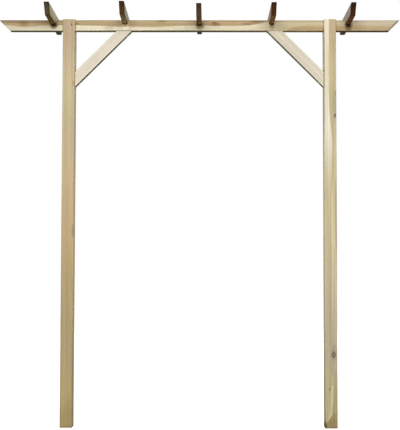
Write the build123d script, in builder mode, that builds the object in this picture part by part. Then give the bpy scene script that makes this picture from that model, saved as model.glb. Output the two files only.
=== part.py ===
"""Single-span garden pergola in planed pine, in millimetres.

Two square posts carry one beam in open slots cut across their tops. A mitred brace stiffens each
corner, and short rafters with bevelled ends are notched over the beam. The origin is the middle of
the left post's foot, +X runs along the beam to the right post, +Y to the back and +Z up.
"""

from build123d import *
from math import cos, radians, sin
import os

# Timber stock: square posts, and one board section for everything that they carry
post_section = 60
post_arris_radius = 3
board_thickness = 25
board_height = 55
board_arris_radius = 2

# Posts and beam
post_height = 2020
post_spacing = 1300
beam_length = 2000
beam_end_angle = 45

# Braces, measured along their longer edge and up from the level
brace_length = 400
brace_angle = 45

# Rafters, spread evenly between the two outer ones, which stand back from the beam's ends. They were
# notched and set by eye, so each is off its even place by a share of the pitch, sits this much higher
# than a full notch would let it, and tips its front end up by an angle.
rafter_length = 400
rafter_end_angle = 55
rafter_notch_depth = 25
rafter_setback = 260
rafter_drift_shares = (0.023, -0.004, -0.003, -0.027, 0.003)
rafter_rises = (1, 4, 0, 5, 0)
rafter_tip_angles = (1.2, 1.4, -0.5, -0.6, 0.7)

# Room on each side of the beam in the slots and notches, and how far cutters pass the wood
joint_clearance = 0.25
cut_overrun = 5

# Places that follow from the sizes above
span_middle = post_spacing / 2
beam_top = post_height
beam_bottom = beam_top - board_height
beam_slot_width = board_thickness + 2 * joint_clearance
rafter_bottom = beam_top - rafter_notch_depth
first_rafter_x = span_middle - beam_length / 2 + rafter_setback
rafter_pitch = (beam_length - 2 * rafter_setback) / (len(rafter_drift_shares) - 1)

os.makedirs("parts", exist_ok=True)


def save(piece, name):
    """Label a finished piece and write it to its own file."""
    piece.label = name
    export_step(piece, f"parts/{name}.step")


def make_post(name, centre_x):
    """A square post with eased arrises and a slot across its top, as deep as the beam is high."""
    with BuildPart() as post:
        with BuildSketch(Plane.XY) as section:
            with Locations((centre_x, 0)):
                Rectangle(post_section, post_section)
            fillet(section.vertices(), post_arris_radius)
        extrude(amount=post_height)
        with BuildSketch(Plane.XY.offset(beam_bottom)):
            with Locations((centre_x, 0)):
                Rectangle(post_section + 2 * cut_overrun, beam_slot_width)
        extrude(amount=board_height + cut_overrun, mode=Mode.SUBTRACT)
    save(post.part, name)


def make_beam(name):
    """The beam, flush with the post tops, with both ends cut back underneath."""
    with BuildPart() as beam:
        with BuildSketch(Plane.XZ):
            with Locations((span_middle, beam_bottom + board_height / 2)):
                Trapezoid(beam_length, board_height, beam_end_angle, rotation=180)
        extrude(amount=board_thickness / 2, both=True)
        fillet(beam.edges().filter_by(Axis.X), board_arris_radius)
    save(beam.part, name)


def make_brace(name, corner_x, inward):
    """A brace in line with the beam, cut level where it meets the beam and plumb at the post.

    corner_x is the post's inner face, and inward is 1 or -1 along X, away from that face.
    """
    slope = radians(brace_angle)
    outer_run = brace_length * cos(slope)
    outer_drop = brace_length * sin(slope)
    inner_run = outer_run - board_height / sin(slope)
    inner_drop = outer_drop - board_height / cos(slope)
    with BuildPart() as brace:
        with BuildSketch(Plane.XZ):
            with BuildLine():
                Polyline(
                    (corner_x, beam_bottom - outer_drop),
                    (corner_x + inward * outer_run, beam_bottom),
                    (corner_x + inward * inner_run, beam_bottom),
                    (corner_x, beam_bottom - inner_drop),
                    close=True,
                )
            make_face()
        extrude(amount=board_thickness / 2, both=True)
        grain = Axis((0, 0, 0), (inward * outer_run, 0, outer_drop))
        fillet(brace.edges().filter_by(grain), board_arris_radius)
    save(brace.part, name)


def make_rafter(name, centre_x, rise, tip_angle):
    """A short rafter across the beam, bevelled at both ends and notched to sit over the beam.

    However the rafter tips, its notch is cut level and square to the beam.
    """
    tip = radians(tip_angle)
    with BuildPart() as rafter:
        with BuildSketch(Plane.YZ.offset(centre_x)):
            with Locations((0, rafter_bottom + rise + board_height / 2)):
                Trapezoid(rafter_length, board_height, rafter_end_angle, rotation=180 - tip_angle)
        extrude(amount=board_thickness / 2, both=True)
        grain = Axis((0, 0, 0), (0, cos(tip), -sin(tip)))
        fillet(rafter.edges().filter_by(grain), board_arris_radius)
        with BuildSketch(Plane.YZ.offset(centre_x)):
            with Locations((0, beam_top)):
                Rectangle(
                    beam_slot_width,
                    rafter_notch_depth + cut_overrun,
                    align=(Align.CENTER, Align.MAX),
                )
        extrude(amount=board_thickness / 2 + cut_overrun, both=True, mode=Mode.SUBTRACT)
    save(rafter.part, name)


make_post("left_post", 0)
make_post("right_post", post_spacing)
make_beam("cross_beam")
make_brace("left_brace", post_section / 2, 1)
make_brace("right_brace", post_spacing - post_section / 2, -1)

for place, drift_share in enumerate(rafter_drift_shares):
    rafter_x = first_rafter_x + (place + drift_share) * rafter_pitch
    make_rafter(f"rafter_{place + 1}", rafter_x, rafter_rises[place], rafter_tip_angles[place])
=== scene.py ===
from collections import namedtuple
from math import pi

import bmesh
import bpy
from mathutils import Matrix, Vector


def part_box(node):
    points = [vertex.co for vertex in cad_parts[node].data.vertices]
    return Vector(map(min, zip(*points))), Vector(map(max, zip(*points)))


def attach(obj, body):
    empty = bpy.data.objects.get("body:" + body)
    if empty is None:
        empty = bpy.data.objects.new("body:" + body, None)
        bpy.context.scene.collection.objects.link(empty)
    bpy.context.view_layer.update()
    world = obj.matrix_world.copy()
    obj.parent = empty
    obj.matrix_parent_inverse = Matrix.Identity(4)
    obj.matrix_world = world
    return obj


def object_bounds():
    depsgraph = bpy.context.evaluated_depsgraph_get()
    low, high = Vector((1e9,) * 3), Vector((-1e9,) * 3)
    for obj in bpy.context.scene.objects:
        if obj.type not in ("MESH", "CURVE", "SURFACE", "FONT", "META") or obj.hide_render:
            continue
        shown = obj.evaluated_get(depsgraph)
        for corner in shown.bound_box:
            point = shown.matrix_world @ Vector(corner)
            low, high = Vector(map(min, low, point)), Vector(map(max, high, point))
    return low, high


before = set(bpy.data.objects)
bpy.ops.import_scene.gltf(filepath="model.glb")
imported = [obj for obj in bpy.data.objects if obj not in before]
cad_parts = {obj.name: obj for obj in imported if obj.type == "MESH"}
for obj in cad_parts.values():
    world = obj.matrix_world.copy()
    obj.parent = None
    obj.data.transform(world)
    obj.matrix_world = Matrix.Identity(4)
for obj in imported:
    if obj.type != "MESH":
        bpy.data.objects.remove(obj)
cad_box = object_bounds()


# Posts: two square lengths of planed pine, pressure treated against rot, with the beam let into their tops.
# The left one is even straw-coloured sapwood. The right one was sawn nearer the bark, so a cream band runs
# down its left side, bends round a knot and fades, and its foot is stained from standing on soil.

# Marks on the wood, placed on a piece's own axes: a zone takes over on one side of a line, a knot is drawn
# out along the grain by its stretch, and a patch multiplies the colour within its reach. Some patches are
# real stains, others painted shade or painted light.
Zone = namedtuple("Zone", "side line tones border blur wander", defaults=(0.0, 0.0035, 0.008))
Knot = namedtuple("Knot", "up through along radius stretch", defaults=(1.6,))
StainAndShade = namedtuple("StainAndShade", "place reach tone")


def shade(red, green, blue):
    """A colour as it looks on a screen, 0 to 255, turned into the linear values that shaders use."""
    parts = [part / 255 for part in (red, green, blue)]
    return tuple(p / 12.92 if p <= 0.04045 else ((p + 0.055) / 1.055) ** 2.4 for p in parts) + (1.0,)


class Wiring:
    """A node tree being put together: each method adds one kind of node and gives back its result."""

    def __init__(self, tree):
        self.tree = tree

    def feed(self, socket, value):
        """Links a result to a socket, or sets a plain value on it."""
        if isinstance(value, bpy.types.NodeSocket):
            self.tree.links.new(value, socket)
        else:
            socket.default_value = value

    def node(self, kind, *values, **options):
        """Adds a node with these options and feeds the values to its first sockets in order."""
        node = self.tree.nodes.new("ShaderNode" + kind)
        for option, setting in options.items():
            setattr(node, option, setting)
        for socket, value in zip(node.inputs, values):
            self.feed(socket, value)
        return node

    def maths(self, operation, *values):
        return self.node("Math", *values, operation=operation).outputs[0]

    def vectors(self, operation, *values):
        node = self.node("VectorMath", *values, operation=operation)
        return node.outputs["Value" if operation == "LENGTH" else "Vector"]

    def split(self, vector):
        return self.node("SeparateXYZ", vector).outputs

    def fade(self, value, start, end, low=0.0, high=1.0):
        """Goes smoothly from low to high while value goes from start to end."""
        eased = self.node("MapRange", value, start, end, low, high, interpolation_type="SMOOTHSTEP")
        return eased.outputs[0]

    def noise(self, place, stretch, detail=2.0):
        """Cloudy noise from 0 to 1, with this many clouds a metre along each axis of place."""
        node = self.node("TexNoise", self.vectors("MULTIPLY", place, stretch))
        node.inputs["Scale"].default_value = 1.0
        node.inputs["Detail"].default_value = detail
        return node.outputs[0]

    def mix(self, share, first, second, how="MIX"):
        """Mixes two colours. The node keeps its colour sockets behind those for numbers and vectors."""
        node = self.node("Mix", data_type="RGBA", blend_type=how)
        share_socket, first_socket, second_socket = node.inputs[0], node.inputs[6], node.inputs[7]
        self.feed(share_socket, share)
        self.feed(first_socket, first)
        self.feed(second_socket, second)
        return node.outputs[2]

    def tint(self, colour, share, first, second):
        """Multiplies a colour by something between two tones."""
        return self.mix(1.0, colour, self.mix(share, (*first, 1.0), (*second, 1.0)), "MULTIPLY")


def grain_frame(along, up):
    """Turns a piece's own axes into the part's: the third runs along the grain, the first up the face."""
    grain = Vector(along).normalized()
    face_up = Vector(up).normalized()
    return Matrix((face_up, grain.cross(face_up), grain)).transposed()


def knot_distance(wood, place, knots):
    """Distance to the nearest knot, in knot radii."""
    far_off = 9.0
    nearest = far_off
    for knot in knots:
        offset = wood.vectors("SUBTRACT", place, (knot.up, knot.through, knot.along))
        scaled = wood.vectors("DIVIDE", offset, (knot.radius, knot.radius, knot.radius * knot.stretch))
        nearest = wood.maths("MINIMUM", wood.vectors("LENGTH", scaled), nearest)
    return nearest


def growth_rings(wood, place, pith, from_knot):
    """Dark latewood of the yearly rings round a wandering pith, bent round knots, some years darker."""
    ring_gap, pith_drift = 0.0038, 0.03
    uneven_years, ragged_years, knot_years = 1.6, 0.7, 2.5
    wander = wood.vectors("MULTIPLY", wood.noise(place, (5.0, 5.0, 1.1)), (pith_drift, pith_drift, 0.0))
    from_pith = wood.vectors("SUBTRACT", wood.vectors("ADD", place, wander), (*pith, 0.0))
    radius = wood.vectors("LENGTH", wood.vectors("MULTIPLY", from_pith, (1.0, 1.0, 0.0)))
    years = wood.maths("DIVIDE", radius, ring_gap)
    uneven = wood.noise(wood.node("CombineXYZ", years).outputs[0], (0.7, 0.0, 0.0))
    ragged = wood.noise(place, (60.0, 60.0, 5.0))
    years = wood.maths("ADD", years, wood.maths("MULTIPLY", uneven, uneven_years))
    years = wood.maths("ADD", years, wood.maths("MULTIPLY", ragged, ragged_years))
    years = wood.maths("ADD", years, wood.fade(from_knot, 0.8, 4.5, knot_years, 0.0))
    season = wood.maths("FRACT", years)
    late = wood.maths("MULTIPLY", wood.fade(season, 0.3, 0.88), wood.fade(season, 1.0, 0.93))
    dry_year = wood.node("TexWhiteNoise", noise_dimensions="1D")
    wood.feed(dry_year.inputs["W"], wood.maths("FLOOR", years))
    return wood.maths("MULTIPLY", late, wood.fade(dry_year.outputs[0], 0.0, 1.0, 0.3, 1.0))


def tone_along(wood, along, length, tones):
    """The colour at a place along the grain, eased between (along, colour) tones from end to end."""
    run = wood.node("MapRange", along, -length / 2, length / 2).outputs[0]
    ramp = wood.node("ValToRGB", run)
    ramp.color_ramp.interpolation = "EASE"
    stops = ramp.color_ramp.elements
    stops.remove(stops[1])
    first_place, first_tone = tones[0]
    stops[0].position = 0.5 + first_place / length
    stops[0].color = first_tone
    for tone_place, tone in tones[1:]:
        stops.new(0.5 + tone_place / length).color = tone
    return ramp.outputs[0]


def beyond_line(wood, up, along, length, zone, ragged):
    """1 above (side 1) or below (side -1) a zone's smooth line through (along, up) points, else 0."""
    curve_reach = 0.12
    run = wood.node("MapRange", along, -length / 2, length / 2).outputs[0]
    curve = wood.node("FloatCurve", 1.0, run)
    points = curve.mapping.curves[0].points
    while len(points) < len(zone.line):
        points.new(0.5, 0.5)
    for point, (line_along, line_up) in zip(points, zone.line):
        point.location = (0.5 + line_along / length, 0.5 + line_up / curve_reach)
    curve.mapping.update()
    edge = wood.maths("MULTIPLY", wood.maths("SUBTRACT", curve.outputs[0], 0.5), curve_reach)
    wander = wood.maths("MULTIPLY", ragged, zone.wander)
    above = wood.maths("SUBTRACT", wood.maths("ADD", up, wander), edge)
    return wood.fade(wood.maths("MULTIPLY", above, zone.side), -zone.blur, zone.blur)


def lay_zones(wood, colour, up, along, length, zones, ragged):
    """Lets each zone take over on its side of its line, with a border there as dark as it says."""
    border_tone = (0.25, 0.12, 0.0, 1.0)
    for zone in zones:
        inside = beyond_line(wood, up, along, length, zone, ragged)
        colour = wood.mix(inside, colour, tone_along(wood, along, length, zone.tones))
        if zone.border:
            crossing = wood.maths("MULTIPLY", inside, wood.maths("SUBTRACT", 1.0, inside))
            darkened = wood.maths("MULTIPLY", crossing, zone.border)
            colour = wood.mix(darkened, colour, border_tone, "MULTIPLY")
    return colour


def lay_stains_and_shade(wood, colour, place, stains_and_shade, ragged):
    """Multiplies the wood round each patch's place, out to a ragged edge: real stains, painted shade and
    light.
    """
    for tone_patch in stains_and_shade:
        offset = wood.vectors("SUBTRACT", place, tone_patch.place)
        scaled = wood.vectors("DIVIDE", offset, tone_patch.reach)
        spread = wood.maths("ADD", wood.vectors("LENGTH", scaled), ragged)
        colour = wood.mix(wood.fade(spread, 1.1, 0.4), colour, (*tone_patch.tone, 1.0), "MULTIPLY")
    return colour


def lay_knots(wood, colour, from_knot, fibre, knot_tone, knot_halo):
    """Gives each knot a halo of resin, a heart of harder wood and a rim of bark."""
    halo = wood.fade(from_knot, 2.8, 0.9, 0.0, 0.45)
    colour = wood.mix(halo, colour, (*knot_halo, 1.0), "MULTIPLY")
    heart = wood.tint(shade(*knot_tone), fibre, (0.8, 0.8, 0.8), (1.2, 1.2, 1.2))
    colour = wood.mix(wood.fade(from_knot, 1.3, 0.7), colour, heart)
    rim = wood.maths("MULTIPLY", wood.fade(from_knot, 1.4, 1.0), wood.fade(from_knot, 0.4, 0.9))
    bark = wood.mix(1.0, heart, (0.38, 0.36, 0.34, 1.0), "MULTIPLY")
    return wood.mix(wood.maths("MULTIPLY", rim, 0.75), colour, bark)


def near_faces(wood, up, through, section, reach):
    """1 at the two edges of a board, then 1 at its two faces, each 0 further in than the reach."""
    near = []
    for offset, width in zip((up, through), section):
        near.append(wood.fade(wood.maths("ABSOLUTE", offset), width / 2 - reach, width / 2 - reach / 4))
    return near


def planed_bump(wood, along, latewood, bundle, fibre):
    """The fine relief of a planed face: hard rings and fibres stand proud, and knives leave ripples."""
    knife_pitch = 0.0042
    knife_mark = wood.maths("SINE", wood.maths("MULTIPLY", along, 2 * pi / knife_pitch))
    relief = wood.maths("ADD", wood.maths("MULTIPLY", latewood, 0.5), wood.maths("MULTIPLY", bundle, 0.7))
    relief = wood.maths("ADD", relief, wood.maths("MULTIPLY", fibre, 0.5))
    relief = wood.maths("ADD", relief, wood.maths("MULTIPLY", knife_mark, 0.08))
    bump = wood.node("Bump")
    bump.inputs["Strength"].default_value = 0.35
    bump.inputs["Distance"].default_value = 0.0004
    wood.feed(bump.inputs["Height"], relief)
    return bump.outputs[0]


def pine(name, centre, turn, length, section, log_place, pith, tones, zones=(), knots=(), stains_and_shade=(),
         arris=(0.84, 0.8, 0.74), arris_reach=0.005, end_grain=(0.55, 0.45, 0.34), ring_depth=0.5,
         knot_tone=(146, 112, 77), knot_halo=(0.66, 0.5, 0.33)):
    """Planed softwood, worked out through the whole piece so that faces, arrises and ends agree.

    The wood is laid out on the piece's own axes: up the face, through it and along the grain from its
    middle. log_place is where along an endless log the piece was cut, so that no two pieces look alike,
    and pith is where the middle of that log lay. arris multiplies the colour on the long edges: partly
    wear, partly painted shade. end_grain does so where the saw crossed the grain, and painted shade darkens
    the rims of those end faces.
    """
    material = bpy.data.materials.new(name)
    material.use_nodes = True
    wood = Wiring(material.node_tree)
    shader = wood.tree.nodes["Principled BSDF"]
    coordinates = wood.node("TexCoord").outputs
    euler = turn.to_euler()
    place = wood.node("Mapping", coordinates["Object"], centre, euler, vector_type="TEXTURE").outputs[0]
    up, through, along = wood.split(place)
    grain = wood.vectors("ADD", place, (0.0, 0.0, log_place))

    fibre = wood.noise(grain, (2200.0, 2200.0, 40.0), detail=1.0)
    bundle = wood.noise(grain, (420.0, 420.0, 7.0), detail=3.0)
    streak = wood.noise(grain, (95.0, 95.0, 0.9))
    cloud = wood.noise(grain, (8.0, 8.0, 2.4))
    resin_duct = wood.fade(wood.noise(grain, (1300.0, 1300.0, 70.0)), 0.66, 0.74)
    ragged = wood.maths("SUBTRACT", wood.noise(grain, (30.0, 30.0, 3.0)), 0.5)
    from_knot = knot_distance(wood, place, knots)
    latewood = growth_rings(wood, grain, pith, from_knot)

    unchanged = (1.0, 1.0, 1.0)
    colour = tone_along(wood, along, length, tones)
    colour = lay_zones(wood, colour, up, along, length, zones, ragged)
    ring_share = wood.maths("MULTIPLY", latewood, ring_depth)
    colour = wood.tint(colour, ring_share, (1.04, 1.04, 1.04), (0.66, 0.59, 0.5))
    colour = wood.tint(colour, wood.fade(streak, 0.3, 0.7), (0.92, 0.91, 0.89), (1.05, 1.05, 1.05))
    colour = wood.tint(colour, wood.fade(cloud, 0.3, 0.7), (0.93, 0.96, 0.91), (1.04, 1.01, 1.0))
    colour = wood.tint(colour, bundle, (0.92, 0.92, 0.91), (1.06, 1.06, 1.06))
    colour = wood.tint(colour, wood.fade(fibre, 0.25, 0.75), (0.88, 0.87, 0.85), (1.1, 1.1, 1.1))
    colour = wood.tint(colour, resin_duct, unchanged, (0.78, 0.72, 0.64))
    colour = lay_stains_and_shade(wood, colour, place, stains_and_shade, ragged)

    near = near_faces(wood, up, through, section, arris_reach)
    on_arris = wood.maths("MULTIPLY", *near)
    # Wear and painted shade along the long edges.
    worn_and_shaded_edge = wood.maths("MULTIPLY", on_arris, wood.fade(bundle, 0.2, 0.5, 0.4, 1.0))
    colour = wood.tint(colour, worn_and_shaded_edge, unchanged, arris)
    colour = lay_knots(wood, colour, from_knot, fibre, knot_tone, knot_halo)

    normal = wood.node("Mapping", coordinates["Normal"], (0, 0, 0), euler, vector_type="TEXTURE").outputs[0]
    end_share = wood.fade(wood.maths("ABSOLUTE", wood.split(normal)[2]), 0.08, 0.25)
    ringed = wood.tint(colour, latewood, (1.1, 1.1, 1.1), (0.6, 0.52, 0.44))
    # Painted shade: the rims of the end faces are darkened.
    ringed = wood.tint(ringed, wood.maths("MAXIMUM", *near), unchanged, (0.46, 0.42, 0.38))
    colour = wood.mix(end_share, colour, wood.mix(1.0, ringed, (*end_grain, 1.0), "MULTIPLY"))

    wood.feed(shader.inputs["Base Color"], colour)
    wood.feed(shader.inputs["Roughness"], wood.fade(bundle, 0.2, 0.8, 0.66, 0.86))
    shader.inputs["Specular IOR Level"].default_value = 0.1
    wood.feed(shader.inputs["Normal"], planed_bump(wood, along, latewood, bundle, fibre))
    return material


def dress(node, material):
    """Gives a CAD piece its finish."""
    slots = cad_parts[node].data.materials
    slots.clear()
    slots.append(material)


def middle(node):
    """The middle of a CAD piece's box."""
    low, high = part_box(node)
    return (low + high) / 2


upright = grain_frame((0, 0, 1), (1, 0, 0))
post_low, post_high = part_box("left_post")
post_length = post_high.z
post_section = (post_high.x - post_low.x, post_high.y - post_low.y)
half_post = post_section[0] / 2
left_face, right_face = -half_post, half_post
front_face, rear_face = -half_post, half_post


def height(metres):
    """A height above the ground as a place along a post's grain."""
    return metres - post_length / 2


def rising(points):
    """The points of a line, or the tones, up a post, with their heights as places along its grain."""
    return [(height(metres), value) for metres, value in points]


whole_depth = 1.0
# A slight painted shade along the posts' long edges.
post_edge_shade = (0.95, 0.94, 0.92)
# Painted light: the posts' inner sides are lightened about their middles, standing in for light thrown up
# from the floor.
painted_floor_light = (1.28, 1.26, 1.22)
# The bottom centimetre of each post's foot is darker.
dark_foot_band = StainAndShade((0.0, 0.0, height(0.0)), (whole_depth, whole_depth, 0.012), (0.8, 0.78, 0.75))
dress("left_post", pine(
    "left_post_pine", middle("left_post"), upright, post_length, post_section,
    log_place=0.0, pith=(0.05, 0.06),
    tones=rising([(0.0, shade(186, 166, 124)), (0.4, shade(179, 159, 122)), (0.75, shade(183, 162, 122)),
                  (1.0, shade(187, 167, 130)), (1.26, shade(198, 177, 144)), (1.47, shade(194, 177, 145)),
                  (1.64, shade(200, 184, 151)), (2.0, shade(182, 164, 137))]),
    knots=[Knot(-0.012, rear_face, height(1.3), 0.011),
           Knot(left_face, 0.01, height(0.62), 0.010),
           Knot(0.013, front_face, height(1.992), 0.0024),
           Knot(0.014, front_face, height(2.004), 0.0016)],
    stains_and_shade=[StainAndShade((0.025, 0.0, height(0.0)), (0.08, whole_depth, 0.17), (0.85, 0.81, 0.77)),
            dark_foot_band,
            StainAndShade((left_face, front_face, height(0.04)), (0.007, 0.03, 0.14), (0.76, 0.74, 0.7)),
            # Painted light on the inner side.
            StainAndShade((right_face, 0.0, height(0.8)), (0.004, whole_depth, 0.5), painted_floor_light),
            StainAndShade((right_face, front_face, height(0.965)), (0.01, 0.02, 0.04), (0.72, 0.72, 0.72)),
            StainAndShade((0.024, front_face, height(1.70)), (0.008, 0.02, 0.02), (0.86, 0.76, 0.62))],
    arris=post_edge_shade, arris_reach=0.006, ring_depth=0.35))

cream_line = rising([(0.0, 0.008), (1.14, 0.004), (1.3, 0.008), (1.39, 0.009), (1.46, 0.004),
                     (1.54, -0.003), (1.66, -0.006), (post_length, -0.006)])
flame_right = rising([(0.0, -0.03), (0.018, -0.016), (0.038, -0.006), (0.09, 0.003), (0.158, 0.009),
                      (0.21, 0.010), (0.24, 0.0), (0.34, -0.055), (post_length, -0.055)])
flame_left = rising([(0.0, -0.036), (0.03, -0.020), (0.054, -0.013), (0.09, -0.006), (0.138, -0.005),
                     (0.2, -0.001), (0.225, 0.012), (0.34, -0.045), (post_length, -0.045)])
damp_line = rising([(0.0, -0.045), (0.015, -0.034), (0.03, -0.02), (0.042, -0.011), (0.052, -0.004),
                    (0.064, 0.006), (0.08, 0.022), (0.1, 0.055), (post_length, 0.055)])
foot_olive = shade(189, 179, 144)
olive_tones = rising([(0.0, foot_olive)])
flame_tones = rising([(0.0, shade(212, 202, 163))])
damp_tones = rising([(0.0, shade(163, 145, 107)), (0.03, shade(160, 138, 96)),
                     (0.06, shade(169, 149, 110))])
right_side_tones = rising([(0.1, shade(178, 165, 126)), (0.35, shade(186, 177, 153)),
                           (1.0, shade(219, 205, 173)), (1.32, shade(198, 183, 150)),
                           (1.55, shade(192, 177, 146)), (1.76, shade(204, 188, 153)),
                           (1.92, shade(191, 176, 144))])
dress("right_post", pine(
    "right_post_pine", middle("right_post"), upright, post_length, post_section,
    log_place=4.0, pith=(0.045, 0.04),
    tones=rising([(0.0, foot_olive), (0.45, shade(185, 173, 149)), (1.1, shade(203, 188, 155)),
                  (1.5, shade(229, 223, 204)), (1.8, shade(230, 217, 193)), (1.95, shade(230, 221, 200))]),
    zones=[Zone(1, cream_line, right_side_tones, border=0.8),
           Zone(-1, flame_right, flame_tones),
           Zone(-1, flame_left, olive_tones),
           Zone(1, damp_line, damp_tones, border=0.7, blur=0.005, wander=0.02)],
    knots=[Knot(0.024, front_face, height(1.538), 0.0055, 1.4),
           Knot(0.0114, front_face, height(0.358), 0.0078, 1.5),
           Knot(-0.008, front_face, height(0.19), 0.0026, 1.5),
           Knot(0.01, rear_face, height(0.95), 0.012),
           Knot(right_face, 0.016, height(1.2), 0.009)],
    stains_and_shade=[dark_foot_band,
            StainAndShade((left_face, 0.0, height(0.01)), (0.008, whole_depth, 0.034), (0.3, 0.29, 0.27)),
            # Painted shade on the inner side near the top, under the brace and beam.
            StainAndShade((left_face, 0.0, height(1.75)), (0.004, whole_depth, 0.45), (0.62, 0.62, 0.58)),
            # Painted light on the inner side.
            StainAndShade((left_face, 0.0, height(0.75)), (0.004, whole_depth, 0.55), painted_floor_light),
            StainAndShade((right_face, front_face, height(1.02)), (0.015, 0.05, 0.28), (0.6, 0.57, 0.54)),
            StainAndShade((0.028, front_face, height(1.6)), (0.015, 0.03, 0.065), (0.76, 0.81, 0.86)),
            StainAndShade((0.026, front_face, height(1.65)), (0.008, 0.02, 0.025), (0.74, 0.68, 0.62)),
            StainAndShade((0.012, front_face, height(0.37)), (0.016, 0.03, 0.05), (0.84, 0.85, 0.85))],
    arris=post_edge_shade, arris_reach=0.006, ring_depth=0.35, knot_tone=(138, 128, 106),
    knot_halo=(0.7, 0.67, 0.6)))


# Beam: one pine board on edge, dropped into the slots of both posts, its ends sawn back underneath. Brown
# heartwood runs along its upper half and ends past the middle, a tan band starts below it towards the right
# end, and the rafters' shadows are painted on it. Two screws through each post's rear cheek hold it.

level = grain_frame((1, 0, 0), (0, 0, 1))
beam_low, beam_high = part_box("cross_beam")
beam_length = beam_high.x - beam_low.x
half_beam = beam_length / 2
board_section = (beam_high.z - beam_low.z, beam_high.y - beam_low.y)
half_width = board_section[0] / 2
underside = -half_width
half_board = board_section[1] / 2
board_front, board_rear = half_board, -half_board
post_place = (middle("right_post").x - middle("left_post").x) / 2
# Painted shade on the beam where it meets each post.
painted_joint_shade = (0.62, 0.57, 0.5)
# Painted shade for the undersides of the beam and braces.
painted_underside_shade = (0.22, 0.2, 0.16)

# Under each rafter a painted shadow falls on the beam: a dark core close below it and a wider patch, given
# by the share of light that they leave. Under the second rafter the beam is painted lighter instead, to
# undo the shade that this rafter casts there.
RafterShadow = namedtuple("RafterShadow", "drip damp damp_reach")
rafter_shadows = [RafterShadow(0.1, 0.34, 0.024), RafterShadow(1.0, 1.3, 0.022), RafterShadow(0.45, 0.48, 0.024),
              RafterShadow(0.2, 0.64, 0.018), RafterShadow(0.07, 0.3, 0.026)]
shadow_drift, core_drop = 0.003, 0.0035
painted_rafter_shadows = []
for number, mark in enumerate(rafter_shadows, start=1):
    from_beam = middle(f"rafter_{number}") - middle("cross_beam")
    mark_along = from_beam.x + shadow_drift
    core_up = from_beam.z - half_width - core_drop
    painted_rafter_shadows.append(StainAndShade((-0.001, board_front, mark_along), (0.026, 0.02, mark.damp_reach),
                             (mark.damp, mark.damp ** 1.13, mark.damp ** 1.28)))
    painted_rafter_shadows.append(StainAndShade((core_up, board_front, mark_along), (0.006, 0.02, 0.015),
                             (mark.drip, mark.drip ** 1.2, mark.drip ** 1.5)))

heart_line = [(-half_beam, 0.007), (-0.95, 0.004), (-0.92, -0.001), (-0.88, -0.005), (-0.84, -0.004),
              (-0.78, 0.0), (-0.6, 0.002), (-0.5, 0.0), (-0.43, -0.004), (-0.32, -0.0055),
              (-0.24, -0.006), (-0.13, -0.0025), (0.0, -0.001), (0.14, -0.002), (0.21, 0.0),
              (0.24, 0.0015), (0.27, 0.0055), (0.3, 0.012), (0.33, 0.018), (0.42, 0.04), (half_beam, 0.045)]
tan_line = [(-half_beam, -0.045), (0.38, -0.045), (0.44, -0.019), (0.49, -0.004), (0.55, 0.0), (0.6, 0.001),
            (half_beam, -0.003)]
right_sawn_edge = [(-half_beam, -0.05), (0.9, -0.05), (0.933, -0.0275), (0.987, 0.0275), (half_beam, 0.04)]
left_sawn_edge = [(-half_beam, 0.036), (-0.99, 0.024), (-0.972, 0.004), (-0.96, -0.04), (-0.94, -0.05),
                  (half_beam, -0.05)]
sapwood = [(-half_beam, shade(205, 196, 171)), (-0.6, shade(226, 217, 193)), (0.2, shade(226, 218, 192)),
           (0.45, shade(197, 183, 152)), (half_beam, shade(200, 187, 163))]
dress("cross_beam", pine(
    "beam_pine", middle("cross_beam"), level, beam_length, board_section,
    log_place=8.0, pith=(0.06, -0.03), tones=sapwood,
    zones=[Zone(1, heart_line, [(0.0, shade(180, 157, 124))], border=1.0),
           Zone(-1, tan_line, [(0.0, shade(182, 161, 124))], blur=0.007),
           Zone(-1, right_sawn_edge, [(0.0, shade(150, 139, 118))]),
           Zone(-1, left_sawn_edge, [(0.0, shade(138, 120, 96))])],
    knots=[Knot(0.0245, board_front, -0.187, 0.0042, 2.8), Knot(0.015, board_front, 0.074, 0.003, 2.0),
           Knot(0.0, board_rear, 0.35, 0.009), Knot(-0.012, board_rear, -0.4, 0.007)],
    stains_and_shade=[StainAndShade((0.024, 0.0, -0.91), (0.018, whole_depth, 0.24), (0.62, 0.61, 0.6)),
            StainAndShade((0.029, 0.0, -0.93), (0.008, whole_depth, 0.14), (0.6, 0.58, 0.56)),
            StainAndShade((-0.01, 0.0, -post_place), (0.03, whole_depth, 0.04), painted_joint_shade),
            StainAndShade((-0.01, 0.0, post_place), (0.03, whole_depth, 0.04), painted_joint_shade),
            StainAndShade((0.01, board_front, -0.88), (0.02, 0.02, 0.036), (0.72, 0.67, 0.6)),
            StainAndShade((0.009, board_front, -0.618), (0.008, 0.02, 0.02), (0.76, 0.66, 0.54)),
            StainAndShade((0.007, board_front, 0.082), (0.012, 0.02, 0.024), (0.68, 0.58, 0.47)),
            StainAndShade((0.018, board_front, 0.285), (0.012, 0.02, 0.045), (0.64, 0.61, 0.54)),
            StainAndShade((0.009, board_front, 0.24), (0.007, 0.02, 0.035), (0.7, 0.65, 0.56)),
            StainAndShade((-0.012, board_front, -0.455), (0.014, 0.02, 0.035), (0.8, 0.8, 0.79)),
            StainAndShade((-0.014, board_front, -0.055), (0.012, 0.02, 0.03), (0.9, 0.9, 0.92)),
            # Painted shade along the beam's underside, deepest at the ends.
            StainAndShade((underside, 0.0, -0.85), (0.003, whole_depth, 0.26), painted_underside_shade),
            StainAndShade((underside, 0.0, 0.85), (0.003, whole_depth, 0.26), painted_underside_shade),
            StainAndShade((underside, 0.0, -0.14), (0.005, whole_depth, 0.75), (0.4, 0.38, 0.33)),
            *painted_rafter_shadows],
    # The arris tone paints shade along the beam's long edges.
    arris=(0.76, 0.72, 0.66), ring_depth=0.45))


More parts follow.
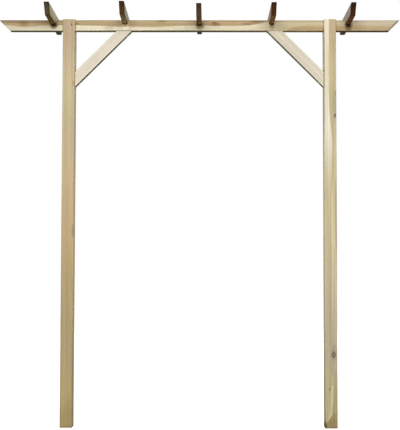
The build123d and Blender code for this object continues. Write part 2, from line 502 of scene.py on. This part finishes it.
def screw_head():
    """A raised steel screw head with a six-lobed recess, standing on the ground plane at the origin."""
    radius, rise, bedding, recess_depth, edge_round = 0.0042, 0.0014, 0.0006, 0.0012, 0.0004
    top_share, rim_share, valley_share = 0.86, 0.4, 0.68
    lobes, points_in_lobe, recess_slot = 6, 4, 1
    head = bmesh.new()
    bmesh.ops.create_cone(head, cap_ends=True, segments=lobes * points_in_lobe, radius1=radius,
                          radius2=radius * top_share, depth=rise + bedding,
                          matrix=Matrix.Translation((0.0, 0.0, (rise - bedding) / 2)))
    crown = max(head.faces, key=lambda face: face.calc_center_median().z)
    rim = list(crown.edges)
    bmesh.ops.inset_region(head, faces=[crown], thickness=radius * rim_share)
    valleys = list(crown.verts)[::points_in_lobe]
    bmesh.ops.scale(head, vec=(valley_share, valley_share, 1.0), verts=valleys)
    recess = bmesh.ops.extrude_discrete_faces(head, faces=[crown])["faces"][0]
    bmesh.ops.translate(head, vec=(0.0, 0.0, -recess_depth), verts=recess.verts)
    for corner in recess.verts:
        for face in corner.link_faces:
            face.material_index = recess_slot
    bmesh.ops.bevel(head, geom=rim, offset=edge_round, segments=3, profile=0.5, affect="EDGES", material=-1)
    mesh = bpy.data.meshes.new("screw_head")
    head.to_mesh(mesh)
    head.free()
    return mesh


def dulled_steel(name, bright, dull, smooth, rough):
    """Steel whose plating has gone from bright to dull in soft patches."""
    material = bpy.data.materials.new(name)
    material.use_nodes = True
    plate = Wiring(material.node_tree)
    shader = plate.tree.nodes["Principled BSDF"]
    patches = plate.noise(plate.node("TexCoord").outputs["Object"], (330.0, 330.0, 330.0), detail=4.0)
    plate.feed(shader.inputs["Base Color"], plate.mix(plate.fade(patches, 0.3, 0.7), bright, dull))
    plate.feed(shader.inputs["Roughness"], plate.fade(patches, 0.3, 0.7, smooth, rough))
    shader.inputs["Metallic"].default_value = 1.0
    return material


head_shape = screw_head()
zinc = dulled_steel("zinc_plate", shade(170, 164, 148), shade(146, 140, 126), 0.36, 0.46)
# Painted shade: the screw recess is dark steel.
recess_shade_steel = dulled_steel("recess_shade_steel", shade(78, 72, 62), shade(52, 46, 38), 0.6, 0.8)


def drive_screws(name, screws):
    """One piece holding a screw head at each (place, outward direction)."""
    heads = bmesh.new()
    for place, outward in screws:
        already = len(heads.verts)
        heads.from_mesh(head_shape)
        heads.verts.ensure_lookup_table()
        turn = Vector((0.0, 0.0, 1.0)).rotation_difference(Vector(outward)).to_matrix().to_4x4()
        bmesh.ops.transform(heads, matrix=Matrix.Translation(place) @ turn, verts=heads.verts[already:])
    mesh = bpy.data.meshes.new(name)
    heads.to_mesh(mesh)
    heads.free()
    piece = bpy.data.objects.new(name, mesh)
    bpy.context.scene.collection.objects.link(piece)
    mesh.materials.append(zinc)
    # The recess takes the painted shade.
    mesh.materials.append(recess_shade_steel)
    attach(piece, "root")


screw_offset = 0.012
beam_middle = (beam_low.z + beam_high.z) / 2
cheek_screws = []
for post in ("left_post", "right_post"):
    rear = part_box(post)[1].y
    for aside, above in ((-screw_offset, screw_offset), (screw_offset, -screw_offset)):
        cheek_screws.append(((middle(post).x + aside, rear, beam_middle + above), (0.0, 1.0, 0.0)))
drive_screws("beam_screws", cheek_screws)


# Braces: short boards of pale sapwood at forty-five degrees, cut level under the beam and plumb at the
# posts. They are planed flush with the beam and screwed through their lower edges.

left_brace_tones = [(-0.2, shade(228, 217, 203)), (0.05, shade(226, 217, 205)), (0.2, shade(216, 209, 196))]
right_brace_tones = [(-0.2, shade(216, 211, 195)), (0.0, shade(218, 208, 193))]
screw_shares = (0.08, 0.92)
for brace, inward, log_place, tones in (("left_brace", 1, 12.0, left_brace_tones),
                                        ("right_brace", -1, 14.0, right_brace_tones)):
    low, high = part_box(brace)
    slope = grain_frame((inward, 0, 1), (-inward, 0, 1))
    lower_edge = middle(brace)
    board_middle = lower_edge + slope @ Vector((half_width, 0.0, 0.0))
    dress(brace, pine(
        brace + "_pine", board_middle, slope, (high - low).xz.length, board_section, log_place,
        pith=(-0.06, 0.02), tones=tones,
        knots=[Knot(-0.0215, -half_board * inward, 0.05, 0.007)],
        # Painted shade on the brace's underside.
        stains_and_shade=[StainAndShade((underside, 0.0, 0.0), (0.003, whole_depth, 0.5), painted_underside_shade)],
        ring_depth=0.3))
    foot = Vector((low.x if inward > 0 else high.x, 0.0, low.z))
    head = Vector((high.x if inward > 0 else low.x, 0.0, high.z))
    edge_screws = [(foot.lerp(head, share), (inward, 0.0, -1.0)) for share in screw_shares]
    drive_screws(brace + "_screws", edge_screws)


# Rafters: five short boards on edge, notched over the beam, with both ends sawn to a bevel.
# They are cut from a redder board, brown along the lower edge, and their sawn ends have soaked up the
# preservative and gone dark. One screw from above holds each to the beam.

Rafter = namedtuple("Rafter", "face edge end knot_side knot_along")
rafter_looks = [
    Rafter(shade(184, 173, 146), shade(192, 152, 76), (0.25, 0.23, 0.16), -1, 0.07),
    Rafter(shade(147, 138, 113), shade(226, 194, 126), (0.345, 0.195, 0.105), -1, -0.11),
    Rafter(shade(154, 142, 122), shade(213, 160, 94), (0.37, 0.27, 0.18), 1, 0.13),
    Rafter(shade(142, 124, 112), shade(216, 154, 87), (0.29, 0.145, 0.054), 1, -0.05),
    Rafter(shade(157, 144, 132), shade(178, 103, 40), (0.18, 0.086, 0.027), 1, 0.1)]
rafter_log = 16.0
soaked_end = (0.5, 0.46, 0.42)
rafter_screws = []
for number, looks in enumerate(rafter_looks, start=1):
    rafter = f"rafter_{number}"
    corners = [corner.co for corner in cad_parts[rafter].data.vertices]
    front_tip = min(corners, key=lambda corner: corner.y)
    rear_tip = max(corners, key=lambda corner: corner.y)
    rafter_length = rear_tip.y - front_tip.y
    half_rafter = rafter_length / 2
    lean = (rear_tip.z - front_tip.z) / rafter_length
    across = grain_frame((0.0, 1.0, lean), (0.0, -lean, 1.0))
    top_middle = Vector((middle(rafter).x, 0.0, (front_tip.z + rear_tip.z) / 2))
    board_middle = top_middle - across @ Vector((half_width, 0.0, 0.0))
    brown_edge = [(-half_rafter, -0.0255), (0.0, -0.025), (half_rafter, -0.0255)]
    dress(rafter, pine(
        rafter + "_pine", board_middle, across, rafter_length, board_section, rafter_log + number,
        pith=(-0.05, 0.01), tones=[(0.0, looks.face)],
        zones=[Zone(-1, brown_edge, [(0.0, looks.edge)], border=1.0)],
        knots=[Knot(0.004, looks.knot_side * half_board, looks.knot_along, 0.006)],
        stains_and_shade=[StainAndShade((0.035, 0.0, -half_rafter), (0.05, whole_depth, 0.07), soaked_end),
                StainAndShade((0.035, 0.0, half_rafter), (0.05, whole_depth, 0.07), soaked_end),
                # Painted shade on the rear of the underside, behind the beam.
                StainAndShade((underside, 0.0, 0.16), (0.02, whole_depth, 0.15), (0.2, 0.19, 0.18)),
                # Painted shadow on the underside where it meets the beam.
                StainAndShade((underside, 0.0, -0.014), (0.012, whole_depth, 0.026), (0.4, 0.33, 0.27))],
        # The dark arris tone is painted shade round the rafter's edges.
        arris=(0.28, 0.25, 0.21), arris_reach=0.006, end_grain=looks.end))
    rafter_screws.append((top_middle, (0.0, -lean, 1.0)))
drive_screws("rafter_screws", rafter_screws)


# Studio: a white floor that shows only a soft shadow, one large soft lamp in front, a little above the
# beam, and two behind. The camera stands a little right of the middle, at table height, and looks slightly
# up with its lens shifted a little, as for the photograph.

def seen_directly(wiring):
    """1 for what the eye, a reflection or glass shows, 0 for light that lands on the object."""
    rays = wiring.node("LightPath").outputs
    mirrored = wiring.maths("MAXIMUM", rays["Is Glossy Ray"], rays["Is Transmission Ray"])
    return wiring.maths("MAXIMUM", rays["Is Camera Ray"], mirrored)


floor_reach, floor_drop = 40.0, 0.0005
floor = bpy.data.objects.new("floor", bpy.data.meshes.new("floor"))
bpy.context.scene.collection.objects.link(floor)
floor_mesh = bmesh.new()
bmesh.ops.create_grid(floor_mesh, x_segments=1, y_segments=1, size=floor_reach)
bmesh.ops.translate(floor_mesh, verts=floor_mesh.verts, vec=(0.0, 0.0, -floor_drop))
floor_mesh.to_mesh(floor.data)
floor_mesh.free()
floor_white = bpy.data.materials.new("floor_white")
floor_white.use_nodes = True
paint = Wiring(floor_white.node_tree)
glow = paint.node("Emission", (1.0, 1.0, 1.0, 1.0), 0.93)
matt = paint.node("BsdfDiffuse", (0.3, 0.3, 0.3, 1.0))
shown = paint.node("AddShader", glow.outputs[0], matt.outputs[0])
dull = paint.node("BsdfDiffuse", (0.03, 0.03, 0.03, 1.0))
choice = paint.node("MixShader", seen_directly(paint), dull.outputs[0], shown.outputs[0])
paint.feed(paint.tree.nodes["Material Output"].inputs["Surface"], choice.outputs[0])
floor.data.materials.append(floor_white)

world = bpy.data.worlds.new("studio")
bpy.context.scene.world = world
world.use_nodes = True
sky = Wiring(world.node_tree)
overhead = sky.split(sky.node("TexCoord").outputs["Generated"])[2]
dome = sky.fade(overhead, -0.1, 0.9, 0.16, 0.5)
brightness = sky.node("MapRange", seen_directly(sky), 0.0, 1.0, dome, 1.0).outputs[0]
backdrop = sky.tree.nodes["Background"]
backdrop.inputs["Color"].default_value = (1.0, 1.0, 1.0, 1.0)
sky.feed(backdrop.inputs["Strength"], brightness)


def lamp(name, place, aim, size, power):
    """A soft rectangular lamp, turned towards its aim."""
    light = bpy.data.lights.new(name, "AREA")
    light.shape = "RECTANGLE"
    light.size, light.size_y = size
    light.energy = power
    holder = bpy.data.objects.new(name, light)
    holder.location = place
    holder.rotation_euler = (Vector(aim) - Vector(place)).to_track_quat("-Z", "Y").to_euler()
    bpy.context.scene.collection.objects.link(holder)


span_middle = (cad_box[0].x + cad_box[1].x) / 2
lamp_aim = (span_middle, 0.0, 1.2)
lamp("key", (span_middle, -6.0, 2.6), lamp_aim, (5.0, 3.0), 395.0)
for side, name in ((-1, "left_rear"), (1, "right_rear")):
    lamp(name, (span_middle + side * 3.2, 5.0, 3.2), lamp_aim, (4.0, 3.0), 190.0)

focal_px, image_height_px, sensor_mm = 857.6, 430, 36.0
lens_left_px, lens_up_px = 5.6, 19.15
camera = bpy.data.objects.new("camera", bpy.data.cameras.new("camera"))
camera.data.sensor_width = sensor_mm
camera.data.lens = focal_px * sensor_mm / image_height_px
camera.data.shift_x = -lens_left_px / image_height_px
camera.data.shift_y = lens_up_px / image_height_px
look_left, look_up, roll = 0.005, 0.0402, 0.0018
turned = Matrix.Rotation(look_left, 4, "Z") @ Matrix.Rotation(pi / 2 + look_up, 4, "X")
camera_place = (span_middle + 0.0541, -4.254, 0.7786)
camera.matrix_world = Matrix.Translation(camera_place) @ turned @ Matrix.Rotation(roll, 4, "Z")
bpy.context.scene.collection.objects.link(camera)
bpy.context.scene.camera = camera
bpy.context.scene.view_settings.view_transform = "Standard"
